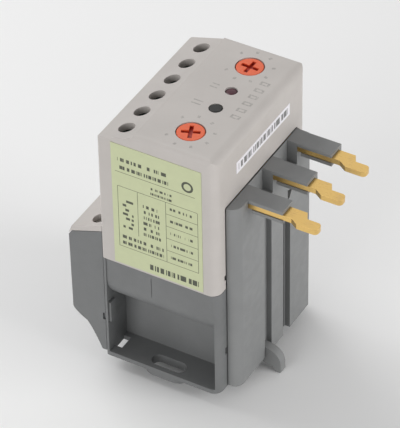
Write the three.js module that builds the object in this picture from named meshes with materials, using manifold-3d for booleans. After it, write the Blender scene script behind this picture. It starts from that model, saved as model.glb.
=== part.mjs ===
// Electronic motor overload relay that plugs under a contactor.
//
// Millimetres. +Z points out of the operator face, +X towards the three plug pins,
// -Y towards the rating label. The origin is the middle of the rear plate.

import * as THREE from 'three';
import { mergeVertices } from 'three/addons/utils/BufferGeometryUtils.js';
import Module from 'manifold-3d';

const wasm = await Module();
wasm.setup();

// ---------- driving dimensions ----------

// housing
const width = 45;                 // Y, one contactor module
const depth = 32.4;               // X, base and cover
const height = 74;                // Z, rear plate to operator face
const splitZ = 32.2;              // where the cover meets the base
const wall = 1.6;
const pinCornerR = 2.6;           // vertical edges on the pin side
const loadCornerR = 0.6;          // vertical edges on the load side
const fit = 0.2;                  // clearance between seated pieces
const slip = 0.3;                 // clearance around pieces that move

// operator face
const deckDepth = 9.4;            // X, sloping deck over the control terminals
const deckLowDrop = 4;            // Z, deck below the operator face at its outer edge
const deckHighDrop = 1.15;        // and where it meets the face
const deckRise = 0.7;             // X, step from the deck up to the operator face
const topEdgeR = 2.5;             // along the pin side
const sideEdgeR = 1.5;            // along the label side and its opposite
const holeR = 2.1;                // screwdriver holes
const auxCount = 6;
const auxPitch = 7.16;
const auxHoleX = 5.65;            // from the load-side face

// dials, lamp and button, measured from the load-side face
const dialX = 21.2;
const dialSpan = 28.76;           // between the two dials
const dialR = 3.5;
const dialH = 2.6;
const crossW = 1.05;              // cross slot for a screwdriver
const crossDepth = 0.8;
const dialSetting = [22, -2];     // degrees, how far each cross slot is turned
const lampX = 22;
const lampR = 1.5;
const buttonR = 1.6;
const lampSpan = 7.6;             // between button and lamp
const buttonTravel = 0.8;

// poles
const polePitch = 12.33;
const poleShift = 0;              // Y of the middle pole
const bladeOffset = 1.7;          // the bar runs this far beside its tongue
const bladeT = 1.5;
const bladeW = 3.7;
const tongueW = 2.9;
const tongueR = 1.1;
const tongueLength = 5.5;
const neckLength = 2;             // slant from the bar's edge to the tongue
const shoulderReach = 2.25;       // bar beyond the finger at full width
const bladeTopZ = 56.3;
const barZ = 25.5;                // level of the bar through the transformers
const barInset = 8.2;             // X, the bar's upright leg behind the pin side

// plug block on the pin side
const plugOut = 3.2;              // stands out from the body
const plugW = 37.1;
const plugShift = 0.55;           // Y of its middle
const plugTopZ = 57.35;
const plugNearR = 2.9;            // upright edge beside the label side
const plugFarChamfer = 1.9;       // upper corner away from the label side
const fingerReach = 9.4;          // X, beyond the plug block
const fingerFrontWall = 0.25;     // beyond the bar's -Y edge
const fingerBackWall = 1.35;      // beyond the bar's +Y edge
const fingerLip = 1.05;
const lipGap = 1.0;               // opening between the plug block and the lip
const recessDepth = 2.8;
const recessFloorZ = 51;
const grooveDepth = 1.4;
const slitDepth = 2.4;

// rear niches with their mounting slots
const nicheDepth = 8.6;
const nicheArcZ = 25.5;
const nicheSetBack = 0.3;         // bulge behind the outer side
const loadWall = 0.9;
const pinWall = 1.2;
const plateT = 1.3;
const slotLength = 9.7;
const slotWidth = 3.8;
const slotInset = 3.25;           // slot centre from the outer side
const bossDrop = 1.3;             // collar below the rear plate

// load terminals
const blockDepth = 9.8;           // X, beside the body
const blockSetBack = 0.5;         // Y, behind the sides of the body
const blockShoulderZ = 35.8;
const loadDeckLowZ = 38.25;
const loadDeckHighZ = 41.5;
const loadDeckT = 1.6;
const loadScrewX = 3.7;           // from the load-side face
const loadHoleR = 2.8;
const loadPitch = 9.9;
const fixingX = 2.75;             // deck screws from the load-side face
const fixingSpan = 36.4;
const fixingR = 2.0;
const cageTravel = 2.1;
const auxTravel = 1.6;

// boards inside, measured from the operator face and the walls
const boardDrop = 7.4;            // Z, top of the front board below the operator face
const boardT = 1.6;
const boardSideGap = 2.9;         // Y, from the sides of the cover

// paper labels
const labelInset = 3.8;           // X, rating label from both corners
const labelT = 0.12;
const stripDrop = 6.6;            // Z, upper edge of the strip below the operator face
const stripW = 3.4;
const stripY = [-12.5, 13.8];

// ---------- derived places ----------

const xPin = depth / 2;
const xLoad = -depth / 2;
const yFar = width / 2;
const yNear = -width / 2;
const xPlug = xPin + plugOut;
const plugNearY = plugShift - plugW / 2;
const plugFarY = plugShift + plugW / 2;
const deckLowZ = height - deckLowDrop;
const deckHighZ = height - deckHighDrop;
const boardTopZ = height - boardDrop;
const barX = xPin - barInset;
const fingerFront = bladeW / 2 + fingerFrontWall;
const fingerBack = bladeW / 2 + fingerBackWall;
const blockHalfW = yFar - blockSetBack;
const poles = [-1, 0, 1].map((k) => poleShift + k * polePitch);
const barYs = poles.map((y) => y + bladeOffset);
const loadYs = [-1, 0, 1].map((k) => k * loadPitch);
const auxYs = Array.from({ length: auxCount }, (_, i) => (i - (auxCount - 1) / 2) * auxPitch);
const auxX = xLoad + auxHoleX;
const dialYs = [-dialSpan / 2, dialSpan / 2];
const seamGap = 0.15;

// ---------- materials ----------

const finish = (color, roughness, metalness = 0) =>
  new THREE.MeshStandardMaterial({ color, roughness, metalness });

const look = {
  shell: () => finish(0xc3bdb8, 0.55),
  housing: () => finish(0x77797a, 0.6),
  label: () => finish(0xc6cca4, 0.5),
  sticker: () => finish(0xf0eef4, 0.5),
  dial: () => finish(0xee5a38, 0.35),
  button: () => finish(0x2b2a28, 0.5),
  lens: () => finish(0x5a0a28, 0.2),
  brass: () => finish(0xc89a52, 0.3, 0.9),
  steel: () => finish(0xb4b4b0, 0.35, 0.9),
  board: () => finish(0x2f6b45, 0.5),
  moulding: () => finish(0x2a4f3c, 0.55),
  component: () => finish(0x26262a, 0.5),
  core: () => finish(0x55575c, 0.5, 0.6),
  copper: () => finish(0xb4622f, 0.35, 0.8),
};

// ---------- shape helpers ----------

const toSolid = (geometry) => {
  const plain = geometry.index ? geometry.toNonIndexed() : geometry.clone();
  plain.deleteAttribute('normal');
  plain.deleteAttribute('uv');
  const merged = mergeVertices(plain, 1e-4);
  return new wasm.Manifold(new wasm.Mesh({
    numProp: 3,
    vertProperties: new Float32Array(merged.attributes.position.array),
    triVerts: new Uint32Array(merged.index.array),
  }));
};

const toGeometry = (solid) => {
  const mesh = solid.getMesh();
  const geometry = new THREE.BufferGeometry();
  geometry.setAttribute('position', new THREE.BufferAttribute(mesh.vertProperties, 3));
  geometry.setIndex(new THREE.BufferAttribute(mesh.triVerts, 1));
  return geometry;
};

const box = (x, y, z) => {
  const geometry = new THREE.BoxGeometry(x[1] - x[0], y[1] - y[0], z[1] - z[0]);
  geometry.translate((x[0] + x[1]) / 2, (y[0] + y[1]) / 2, (z[0] + z[1]) / 2);
  return toSolid(geometry);
};

// points of an outline without the repeated ones that curves leave at their ends
const tidyPoints = (outline, curveSegments) => {
  const points = outline.getPoints(curveSegments);
  return points.filter((p, i) => p.distanceTo(points[(i + 1) % points.length]) > 1e-3);
};

const extrude = (outline, length, curveSegments) => {
  const shape = new THREE.Shape(tidyPoints(outline, curveSegments));
  return new THREE.ExtrudeGeometry(shape, { depth: length, bevelEnabled: false });
};

// outline in X and Z, pushed along Y
const alongY = (outline, y0, y1, curveSegments = 8) => {
  const geometry = extrude(outline, y1 - y0, curveSegments);
  geometry.rotateX(Math.PI / 2);
  geometry.translate(0, y1, 0);
  return toSolid(geometry);
};

// outline in Y and Z, pushed along X
const alongX = (outline, x0, x1, curveSegments = 8) => {
  const geometry = extrude(outline, x1 - x0, curveSegments);
  geometry.applyMatrix4(new THREE.Matrix4().makeBasis(
    new THREE.Vector3(0, 1, 0), new THREE.Vector3(0, 0, 1), new THREE.Vector3(1, 0, 0)));
  geometry.translate(x0, 0, 0);
  return toSolid(geometry);
};

// outline in X and Y, pushed along Z
const alongZ = (outline, z0, z1, curveSegments = 8) => {
  const geometry = extrude(outline, z1 - z0, curveSegments);
  geometry.translate(0, 0, z0);
  return toSolid(geometry);
};

const polygon = (points) => new THREE.Shape(points.map(([a, b]) => new THREE.Vector2(a, b)));

// rectangle whose corners have their own radii, in the order lower left, lower right,
// upper right, upper left
const roundedRect = (a0, a1, b0, b1, radii) => {
  const [ll, lr, ur, ul] = Array.isArray(radii) ? radii : [radii, radii, radii, radii];
  const shape = new THREE.Shape();
  const corner = (a, b, r, start) => {
    if (r > 0) shape.absarc(a, b, r, start, start + Math.PI / 2, false);
  };
  shape.moveTo(a0 + ll, b0);
  shape.lineTo(a1 - lr, b0);
  corner(a1 - lr, b0 + lr, lr, -Math.PI / 2);
  shape.lineTo(a1, b1 - ur);
  corner(a1 - ur, b1 - ur, ur, 0);
  shape.lineTo(a0 + ul, b1);
  corner(a0 + ul, b1 - ul, ul, Math.PI / 2);
  shape.lineTo(a0, b0 + ll);
  corner(a0 + ll, b0 + ll, ll, Math.PI);
  return shape;
};

// slot with round ends, long in X
const obround = (x, y, length, slotW) => {
  const r = slotW / 2;
  const half = length / 2 - r;
  const shape = new THREE.Shape();
  shape.moveTo(x - half, y - r);
  shape.lineTo(x + half, y - r);
  shape.absarc(x + half, y, r, -Math.PI / 2, Math.PI / 2, false);
  shape.lineTo(x - half, y + r);
  shape.absarc(x - half, y, r, Math.PI / 2, Math.PI * 1.5, false);
  return shape;
};

const rodZ = (x, y, r, z0, z1, sides = 20) => {
  const geometry = new THREE.CylinderGeometry(r, r, z1 - z0, sides);
  geometry.rotateX(Math.PI / 2);
  geometry.translate(x, y, (z0 + z1) / 2);
  return toSolid(geometry);
};

const rodX = (y, z, r, x0, x1, sides = 24) => {
  const geometry = new THREE.CylinderGeometry(r, r, x1 - x0, sides);
  geometry.rotateZ(Math.PI / 2);
  geometry.translate((x0 + x1) / 2, y, z);
  return toSolid(geometry);
};

// closed profile of [radius, z] turned about the upright line at x, y
const turned = (x, y, profile, sides = 24) => {
  const geometry = new THREE.LatheGeometry(profile.map(([r, z]) => new THREE.Vector2(r, z)), sides);
  geometry.rotateX(Math.PI / 2);
  geometry.translate(x, y, 0);
  return toSolid(geometry);
};

const joined = (...solids) => solids.reduce((sum, solid) => sum.add(solid));
const cut = (solid, ...tools) => tools.reduce((rest, tool) => rest.subtract(tool), solid);

const model = new THREE.Group();
const place = (name, solid, material) => {
  const mesh = new THREE.Mesh(toGeometry(solid), material);
  mesh.name = name;
  model.add(mesh);
};

// ---------- base housing ----------

// section of the base in Y and Z, drawn in by `inset`, from z0 up to z1
const baseSection = (inset, z0, z1) => {
  const innerY = yFar - nicheDepth;
  const outerY = yFar - nicheSetBack;
  const r = outerY - innerY - inset;
  const shape = new THREE.Shape();
  shape.moveTo(-innerY + inset, z0);
  shape.lineTo(innerY - inset, z0);
  shape.lineTo(innerY - inset, nicheArcZ - r);
  shape.lineTo(innerY, nicheArcZ - r);
  shape.absarc(innerY, nicheArcZ, r, -Math.PI / 2, 0, false);
  shape.lineTo(outerY - inset, z1);
  shape.lineTo(-outerY + inset, z1);
  shape.absarc(-innerY, nicheArcZ, r, Math.PI, Math.PI * 1.5, false);
  shape.lineTo(-innerY + inset, nicheArcZ - r);
  return shape;
};

const slotX = 0.15;
const baseTopZ = splitZ - seamGap;
const bodyPlan = () => roundedRect(xLoad, xPin, yNear, yFar,
  [loadCornerR, pinCornerR, pinCornerR, loadCornerR]);

const seamX = xLoad + 13.6;        // faint moulding line on the bulge
const windowW = 2.1;              // small openings beside the load wall
const windowFrom = 2.6;           // from the outer side
const windowTo = 6.9;

// small latch notch in the pin side, next to the plug block
const latchLowZ = [11, 13.2];
const latchHighZ = [35, 36.6];
const latch = (y, z) => box([xPin - 0.8, xPin + 1], [y, y + 0.7], z);

const lugZ = [11, 17.2];
const lugY = [0.6, 2.8];          // from the outer side

const makeBase = () => {
  const block = alongZ(bodyPlan(), 0, baseTopZ);
  const filled = joined(
    alongX(baseSection(0, 0, baseTopZ), xLoad, xPin, 10),
    box([xLoad, xPin], [yNear, yFar], [0, plateT]),
    box([xLoad, xLoad + loadWall], [yNear, yFar], [0, baseTopZ]),
    box([xPin - pinWall, xPin], [yNear, yFar], [0, baseTopZ]),
  );
  let base = block.intersect(filled);
  base = base.subtract(alongX(baseSection(wall, wall, baseTopZ + 1), xLoad + wall, xPin - wall, 10));
  for (const side of [-1, 1]) {
    const slotY = side * (yFar - slotInset);
    const collar = alongZ(obround(slotX, slotY, slotLength + 2.7, slotInset * 2),
      -bossDrop, plateT, 6);
    base = base.add(collar.intersect(box([xLoad, xPin], [yNear, yFar], [-bossDrop, plateT])));
    const slot = alongZ(obround(slotX, slotY, slotLength, slotWidth), -bossDrop - 1, plateT + 1, 6);
    base = base.subtract(slot);
    const windowY = side < 0 ? [yNear + windowFrom, yNear + windowTo]
      : [yFar - windowTo, yFar - windowFrom];
    base = base.subtract(box([xLoad + loadWall, xLoad + loadWall + windowW], windowY, [-1, plateT + 1]));
    const lug = side < 0 ? [yNear + lugY[0] - fit, yNear + lugY[1] + fit]
      : [yFar - lugY[1] - fit, yFar - lugY[0] + fit];
    base = base.subtract(box([xLoad - 1, xLoad + loadWall + 0.1], lug, [lugZ[0] - fit, lugZ[1] + fit]));
  }
  for (const y of loadYs) {
    const half = bladeW / 2 + slip;
    base = base.subtract(box([xLoad - 1, xLoad + wall + 1], [y - half, y + half],
      [barZ - bladeT / 2 - slip, barZ + bladeT / 2 + slip]));
  }
  const line = box([seamX, seamX + 0.25], [yNear - 1, yNear + nicheSetBack + 0.15],
    [nicheArcZ - 2, baseTopZ - 1.5]);
  return cut(base, line, latch(plugNearY - 0.8, latchLowZ));
};
place('base_housing', makeBase(), look.housing());

// ---------- front cover ----------

const deckEdgeX = xLoad + deckDepth;
const faceEdgeX = deckEdgeX + deckRise;
const coverTopT = 1.8;

const coverOutline = () => {
  const shape = new THREE.Shape();
  shape.moveTo(xLoad, splitZ);
  shape.lineTo(xPin, splitZ);
  shape.lineTo(xPin, height - topEdgeR);
  shape.absarc(xPin - topEdgeR, height - topEdgeR, topEdgeR, 0, Math.PI / 2, false);
  shape.lineTo(faceEdgeX, height);
  shape.lineTo(deckEdgeX, deckHighZ);
  shape.lineTo(xLoad, deckLowZ);
  return shape;
};

const coverHollow = () => polygon([
  [xLoad + wall, splitZ - 1],
  [xPin - wall, splitZ - 1],
  [xPin - wall, height - coverTopT],
  [faceEdgeX + 0.4, height - coverTopT],
  [deckEdgeX, deckHighZ - coverTopT],
  [xLoad + wall, deckLowZ - coverTopT],
]);

const contactZ = deckLowZ - 9.8;
const auxWindowZ = [contactZ - 4.3, contactZ + 0.9];
const auxWindowHalfW = 2.2;
const postR = 1.6;
const boardX = [xLoad + 12, xPin - 2.6];
const boardHalfW = yFar - boardSideGap;
const postSpots = [boardX[0] + 2.4, boardX[1] - 2.4].flatMap((x) => [
  [x, boardHalfW - 2.2],
  [x, 2.2 - boardHalfW],
]);

// corner of the plug block away from the label side, cut off at a slant
const farCorner = (grow) => {
  const top = plugTopZ + grow;
  const side = plugFarY + grow;
  return alongX(polygon([
    [side - plugFarChamfer, top],
    [side, top - plugFarChamfer],
    [side + 1, top - plugFarChamfer],
    [side + 1, top + 2],
    [side - plugFarChamfer, top + 2],
  ]), xLoad, xPlug + 1);
};

const makeCover = () => {
  let cover = alongY(coverOutline(), yNear, yFar)
    .intersect(alongZ(bodyPlan(), splitZ, height))
    .intersect(alongX(roundedRect(yNear, yFar, splitZ, height, [0, 0, sideEdgeR, sideEdgeR]),
      xLoad, xPin));
  cover = cover.subtract(alongY(coverHollow(), yNear + wall, yFar - wall));
  for (const [x, y] of postSpots) {
    cover = cover.add(rodZ(x, y, postR, boardTopZ, height - 1, 16));
  }
  const doorway = roundedRect(plugNearY - seamGap, plugFarY + seamGap, splitZ - 1, plugTopZ + seamGap,
    [0, 0, 0, 0.5]);
  cover = cover.subtract(cut(alongX(doorway, xPin - wall - 1, xPin + 1), farCorner(seamGap)));
  cover = cover.subtract(latch(plugNearY - 0.8, latchHighZ));
  for (const y of auxYs) {
    cover = cover.subtract(rodZ(auxX, y, holeR, deckLowZ - 6, height + 1));
    cover = cover.subtract(box([xLoad - 1, xLoad + wall + 1],
      [y - auxWindowHalfW, y + auxWindowHalfW], auxWindowZ));
  }
  for (const y of dialYs) {
    cover = cover.subtract(rodZ(xLoad + dialX, y, dialR + fit, height - 4, height + 1, 32));
  }
  cover = cover.subtract(rodZ(xLoad + lampX, lampSpan / 2, lampR + 0.1, height - 4, height + 1));
  cover = cover.subtract(rodZ(xLoad + lampX, -lampSpan / 2, buttonR + fit, height - 4, height + 1));
  return cover;
};
place('front_cover', makeCover(), look.shell());

// ---------- plug block with its fingers and hook ----------

const slotClear = 0.1;
const barInnerX = barX + bladeT;
const carrierX = barInnerX + 1.2;
const grooves = [
  { y: [-4.5, -1.0], slit: [-4.4, -3.5], topZ: 46 },
  { y: [5.0, 8.6], slit: [5.1, 8.0], topZ: 40 },
];
const hookY = [-4.2, -1.8];

const hookOutline = () => {
  const shape = new THREE.Shape();
  shape.moveTo(xPlug - 2.6, -0.6);
  shape.lineTo(xPlug - 0.7, -1.8);
  shape.lineTo(xPlug + 0.3, -2.3);
  shape.lineTo(xPlug + 2.2, -2.2);
  shape.lineTo(xPlug + 2.3, -3.3);
  shape.lineTo(xPlug + 2.7, -3.7);
  shape.lineTo(xPlug + 4.1, -3.8);
  shape.lineTo(xPlug + 4.4, -3.45);
  shape.lineTo(xPlug + 4.4, -1.0);
  shape.quadraticCurveTo(xPlug + 4.0, 2.6, xPlug, 3.2);
  shape.lineTo(xPlug - 2.6, 3.4);
  return shape;
};

const makePlugBlock = () => {
  const plan = roundedRect(xPin + fit, xPlug, plugNearY, plugFarY, [0, plugNearR, 0.8, 0]);
  const face = roundedRect(plugNearY, plugFarY, 0, plugTopZ, [0.6, 0.6, 0, 0.3]);
  let block = alongZ(plan, -1, plugTopZ + 1).intersect(alongX(face, xPin, xPlug + 1, 4));
  block = block.subtract(farCorner(0));
  block = block.add(box([carrierX, xPin + fit + 0.12],
    [plugNearY + 0.4, plugFarY - 0.4], [splitZ + 1.8, plugTopZ - 2]));
  block = block.subtract(box([carrierX - 1, xPin - wall],
    [plugNearY + 2.2, plugFarY - 2.2], [splitZ, bladeTopZ - 6]));
  grooves.forEach(({ y, slit, topZ }, i) => {
    const from = barYs[i] + fingerBack - 0.05;
    const to = barYs[i + 1] - fingerFront + 0.05;
    block = block.subtract(box([xPlug - recessDepth, xPlug + 1], [from, to], [recessFloorZ, plugTopZ + 1]));
    block = block.subtract(box([xPlug - grooveDepth, xPlug + 1], y, [-1, topZ]));
    block = block.subtract(box([xPlug - slitDepth, xPlug], slit, [-1, topZ]));
  });
  const lipZ = bladeTopZ - bladeT - slotClear - fingerLip;
  const slotZ = [bladeTopZ - bladeT - slotClear, bladeTopZ + slotClear];
  for (const y of barYs) {
    const fingerY = [y - fingerFront, y + fingerBack];
    block = block.add(alongX(roundedRect(...fingerY, lipZ, plugTopZ, 0.35),
      xPlug - recessDepth + 0.1, xPlug + fingerReach, 3));
    const farEdge = y + bladeW / 2 + slotClear;
    block = block.subtract(box([xPlug, xPlug + fingerReach + 1], [fingerY[0] - 1, farEdge], slotZ));
    block = block.subtract(box([xPlug, xPlug + lipGap], [fingerY[0] - 1, farEdge], [lipZ - 0.6, slotZ[1]]));
    block = block.subtract(box([carrierX - 1, xPlug + 0.5], [y - bladeW / 2 - slotClear, farEdge], slotZ));
  }
  block = block.subtract(alongX(polygon([[7.3, 43], [7.2, 45.9], [9.5, 45.2], [8.2, 43]]),
    xPlug - 1.2, xPlug + 1));
  return block.add(alongY(hookOutline(), hookY[0], hookY[1], 10));
};
place('plug_block', makePlugBlock(), look.housing());

// ---------- busbars ----------

const barEndX = xLoad - loadScrewX - 3.4;
const jogX = [barX - 7.5, barX - 1.5];   // where the level leg shifts from pole to terminal

// one flat brass bar: tongue, blade, upright leg, level leg through the transformer
const makeBusbar = (pole, loadY) => {
  const y = pole + bladeOffset;
  const half = bladeW / 2;
  const tongueHalf = tongueW / 2;
  const shoulderX = xPlug + fingerReach + shoulderReach;
  const tongueX = shoulderX + neckLength;
  const tipX = tongueX + tongueLength;
  const plan = new THREE.Shape();
  plan.moveTo(barX, y - half);
  plan.lineTo(shoulderX, y - half);
  plan.lineTo(tongueX, pole - tongueHalf);
  plan.lineTo(tipX - tongueR, pole - tongueHalf);
  plan.absarc(tipX - tongueR, pole - tongueHalf + tongueR, tongueR, -Math.PI / 2, 0, false);
  plan.lineTo(tipX, pole + tongueHalf - tongueR);
  plan.absarc(tipX - tongueR, pole + tongueHalf - tongueR, tongueR, 0, Math.PI / 2, false);
  plan.lineTo(tongueX + 1.5, pole + tongueHalf);
  plan.lineTo(tongueX + 0.4, y + half);
  plan.lineTo(barX, y + half);
  const level = polygon([
    [barEndX, loadY - half],
    [jogX[0], loadY - half],
    [jogX[1], y - half],
    [barX + bladeT, y - half],
    [barX + bladeT, y + half],
    [jogX[1], y + half],
    [jogX[0], loadY + half],
    [barEndX, loadY + half],
  ]);
  return joined(
    alongZ(plan, bladeTopZ - bladeT, bladeTopZ, 4),
    box([barX, barX + bladeT], [y - half, y + half], [barZ - bladeT / 2, bladeTopZ]),
    alongZ(level, barZ - bladeT / 2, barZ + bladeT / 2),
  );
};
poles.forEach((pole, i) => place(`busbar_${i + 1}`, makeBusbar(pole, loadYs[i]), look.brass()));

// ---------- current transformers on the outer poles ----------

const coreX = [xLoad + 7.2, xLoad + 14.2];
const coreLeg = 2.2;
const coreHalfW = bladeW / 2 + 0.75 + coreLeg;
const coreBottomZ = barZ - bladeT / 2 - coreLeg - 1.4;
const coreTopZ = coreBottomZ + 13.4;
[0, 2].forEach((i) => {
  const y = loadYs[i];
  const frame = cut(
    box(coreX, [y - coreHalfW, y + coreHalfW], [coreBottomZ, coreTopZ]),
    box([coreX[0] - 1, coreX[1] + 1], [y - coreHalfW + coreLeg, y + coreHalfW - coreLeg],
      [coreBottomZ + coreLeg, coreTopZ - coreLeg]),
  );
  place(`transformer_core_${i + 1}`, frame, look.core());
  const coilHalf = coreHalfW - coreLeg - fit;
  const coil = cut(
    box([coreX[0] - 1.6, coreX[1] + 1.6], [y - coilHalf, y + coilHalf],
      [coreTopZ - coreLeg - 1.5, coreTopZ + 1.5]),
    box([coreX[0] - fit, coreX[1] + fit], [y - coilHalf - 1, y + coilHalf + 1],
      [coreTopZ - coreLeg - fit, coreTopZ + fit]),
  );
  place(`transformer_coil_${i + 1}`, coil, look.copper());
});

// ---------- load terminal block ----------

const blockX = xLoad - blockDepth;
const loadX = xLoad - loadScrewX;
const chamberHalfW = bladeW / 2 + 2.25;
const chamberX = [blockX + 1.3, xLoad - 0.8];
const chamberFloorZ = 15.6;
const wireZ = [18.4, 23.8];
const wireHalfW = 2.7;
const deckSlope = (loadDeckHighZ - loadDeckLowZ) / (blockDepth - 0.9);
const deckUnderZ = (x) => loadDeckLowZ + (x - (blockX + 0.9)) * deckSlope - loadDeckT;

const blockOutline = () => {
  const right = xLoad - seamGap;
  const shape = new THREE.Shape();
  shape.moveTo(right, 0.8);
  shape.lineTo(right, deckUnderZ(right));
  shape.lineTo(blockX + 0.9, deckUnderZ(blockX + 0.9));
  shape.lineTo(blockX, blockShoulderZ - 0.4);
  shape.lineTo(blockX + 0.2, 12);
  shape.quadraticCurveTo(blockX + 0.5, 10.6, blockX + 4.2, 8.6);
  shape.quadraticCurveTo(blockX + 6.4, 5.6, xLoad - 1.5, 0.8);
  return shape;
};

const fixingYs = [-fixingSpan / 2, fixingSpan / 2];
const sleeveDepth = 5;
const sleeveWall = 0.4;

const makeTerminalBlock = () => {
  let block = alongY(blockOutline(), -blockHalfW, blockHalfW, 8);
  loadYs.forEach((y) => {
    block = block.subtract(box(chamberX, [y - chamberHalfW, y + chamberHalfW], [chamberFloorZ, 60]));
    block = block.subtract(box([blockX - 1, chamberX[0] + 1], [y - wireHalfW, y + wireHalfW], wireZ));
    block = block.subtract(box([xLoad - 1, xLoad + 1], [y - bladeW / 2 - slip, y + bladeW / 2 + slip],
      [barZ - bladeT / 2 - slip, barZ + bladeT / 2 + slip]));
  });
  fixingYs.forEach((y) => {
    const x = xLoad - fixingX;
    const top = deckUnderZ(x);
    block = block.subtract(rodZ(x, y, fixingR + sleeveWall + 0.15, top - sleeveDepth + loadDeckT, 60, 20));
    block = block.subtract(rodZ(x, y, 1.2, top - sleeveDepth - 8, 60, 16));
  });
  for (const side of [-1, 1]) {
    const y = side < 0 ? [yNear + lugY[0], yNear + lugY[1]] : [yFar - lugY[1], yFar - lugY[0]];
    block = block.add(box([xLoad - 1, xLoad + loadWall + 0.6], y, lugZ));
  }
  block = block.subtract(box([xLoad - 0.9, xLoad], [-blockHalfW - 1, -blockHalfW + 0.6], latchLowZ));
  return block;
};
place('terminal_block', makeTerminalBlock(), look.housing());

// ---------- sloping deck over the load terminals ----------

const makeTerminalDeck = () => {
  const right = xLoad - seamGap;
  const plate = polygon([
    [right, deckUnderZ(right) + seamGap],
    [right, deckUnderZ(right) + loadDeckT],
    [blockX + 0.9, loadDeckLowZ],
    [blockX, blockShoulderZ],
    [blockX + 0.9, deckUnderZ(blockX + 0.9) + seamGap],
  ]);
  let deck = alongY(plate, -blockHalfW, blockHalfW);
  loadYs.forEach((y) => {
    deck = deck.subtract(rodZ(loadX, y, loadHoleR, 30, 60));
  });
  fixingYs.forEach((y) => {
    const x = xLoad - fixingX;
    const top = deckUnderZ(x);
    deck = deck.add(rodZ(x, y, fixingR + sleeveWall, top - sleeveDepth + loadDeckT + fit, top + 0.6, 20));
    deck = deck.subtract(rodZ(x, y, fixingR, top - sleeveDepth + loadDeckT + 1.4, 60));
    deck = deck.subtract(rodZ(x, y, 1.2, 20, 60, 16));
  });
  return deck;
};
place('terminal_deck', makeTerminalDeck(), look.shell());

// ---------- screws ----------

// slotted cheese-head screw hanging down from its head
const makeScrew = (x, y, headR, headH, shankR, topZ, length) => {
  const screw = turned(x, y, [
    [0, topZ - length],
    [shankR * 0.6, topZ - length],
    [shankR, topZ - length + shankR * 0.5],
    [shankR, topZ - headH],
    [headR, topZ - headH],
    [headR, topZ - 0.25],
    [headR - 0.25, topZ],
    [0, topZ],
  ], 16);
  const slotHalf = headR * 0.16;
  const slotDepth = headH * 0.5;
  return cut(
    screw,
    box([x - headR - 1, x + headR + 1], [y - slotHalf, y + slotHalf], [topZ - slotDepth, topZ + 1]),
    box([x - slotHalf, x + slotHalf], [y - headR * 0.6, y + headR * 0.6], [topZ - slotDepth, topZ + 1]),
  );
};

fixingYs.forEach((y, i) => {
  const x = xLoad - fixingX;
  const seat = deckUnderZ(x) - sleeveDepth + loadDeckT + 1.4;
  const screw = makeScrew(x, y, fixingR - 0.15, 1.5, 1.0, seat + 1.5 + 0.02, 7);
  place(`deck_screw_${i + 1}`, screw, look.steel());
});

// box clamp that rises on its screw: a frame around the bar
const makeCage = (x, y, halfX, halfY, z0, z1, t, boreR) => cut(
  box([x - halfX, x + halfX], [y - halfY, y + halfY], [z0, z1]),
  box([x - halfX - 1, x + halfX + 1], [y - halfY + t, y + halfY - t], [z0 + t, z1 - t * 1.3]),
  rodZ(x, y, boreR, z1 - t * 2, z1 + 1, 16),
);

const cageFloorZ = wireZ[0] - 1.4;
const cageTopZ = barZ + bladeT / 2 + 3.6;
const cageHalfW = bladeW / 2 + 1.95;
const loadShankR = 1.75;
const loadHeadH = 2.2;
const loadHeadTopZ = cageTopZ + cageTravel + 0.5 + loadHeadH;
loadYs.forEach((y, i) => {
  const cage = makeCage(loadX, y, 2.6, cageHalfW, cageFloorZ, cageTopZ, 1.0, loadShankR + slip);
  place(`load_clamp_${i + 1}`, cage, look.steel());
  const length = loadHeadTopZ - (barZ + bladeT / 2) - slip;
  place(`load_screw_${i + 1}`,
    makeScrew(loadX, y, loadHoleR - 0.1, loadHeadH, loadShankR, loadHeadTopZ, length), look.steel());
});

// ---------- control terminals under the upper deck ----------

const auxBlockX = [xLoad + wall + fit, xLoad + wall + fit + 8.4];
const auxBlockZ = [contactZ - 7, contactZ + 7];
const auxChamberHalfW = holeR + slip;
const auxShankR = 1.1;
const auxCageHalfW = auxChamberHalfW - slip;
const contactT = 0.8;

const makeAuxBlock = () => {
  const halfW = yFar - wall - fit;
  let block = box(auxBlockX, [-halfW, halfW], auxBlockZ);
  auxYs.forEach((y) => {
    block = block.subtract(box([auxBlockX[0] - 1, auxBlockX[1] - 1.2],
      [y - auxChamberHalfW, y + auxChamberHalfW], [auxBlockZ[0] + 1.2, auxBlockZ[1] - 1.2]));
    block = block.subtract(rodZ(auxX, y, holeR, auxBlockZ[1] - 2, auxBlockZ[1] + 1));
    block = block.subtract(box([auxBlockX[1] - 2, auxBlockX[1] + 1], [y - 1.2, y + 1.2],
      [contactZ - 0.1, contactZ + contactT + 0.1]));
  });
  return block;
};
place('control_terminal_block', makeAuxBlock(), look.moulding());

const mainBoardX = [auxBlockX[1] + 0.3, auxBlockX[1] + 0.3 + boardT];
const auxCageFloorZ = contactZ - 5;
const auxCageTopZ = contactZ + contactT + 1.9;
const auxHeadTopZ = auxCageTopZ + auxTravel + 1.7;
auxYs.forEach((y, i) => {
  const n = i + 1;
  place(`control_contact_${n}`, box([auxX - 2.2, mainBoardX[0] - 0.05], [y - 1.0, y + 1.0],
    [contactZ, contactZ + contactT]), look.brass());
  const cage = makeCage(auxX, y, 2.2, auxCageHalfW, auxCageFloorZ, auxCageTopZ, 0.7, auxShankR + slip);
  place(`control_clamp_${n}`, cage, look.steel());
  place(`control_screw_${n}`, makeScrew(auxX, y, holeR - fit, 1.4, auxShankR, auxHeadTopZ,
    auxHeadTopZ - (contactZ + contactT) - slip), look.steel());
});

// ---------- boards and the parts on them ----------

const frontBoardZ = [boardTopZ - boardT, boardTopZ];
const frontBoard = roundedRect(boardX[0], boardX[1], -boardHalfW, boardHalfW, 1);
place('front_board', alongZ(frontBoard, ...frontBoardZ, 3), look.board());

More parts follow.
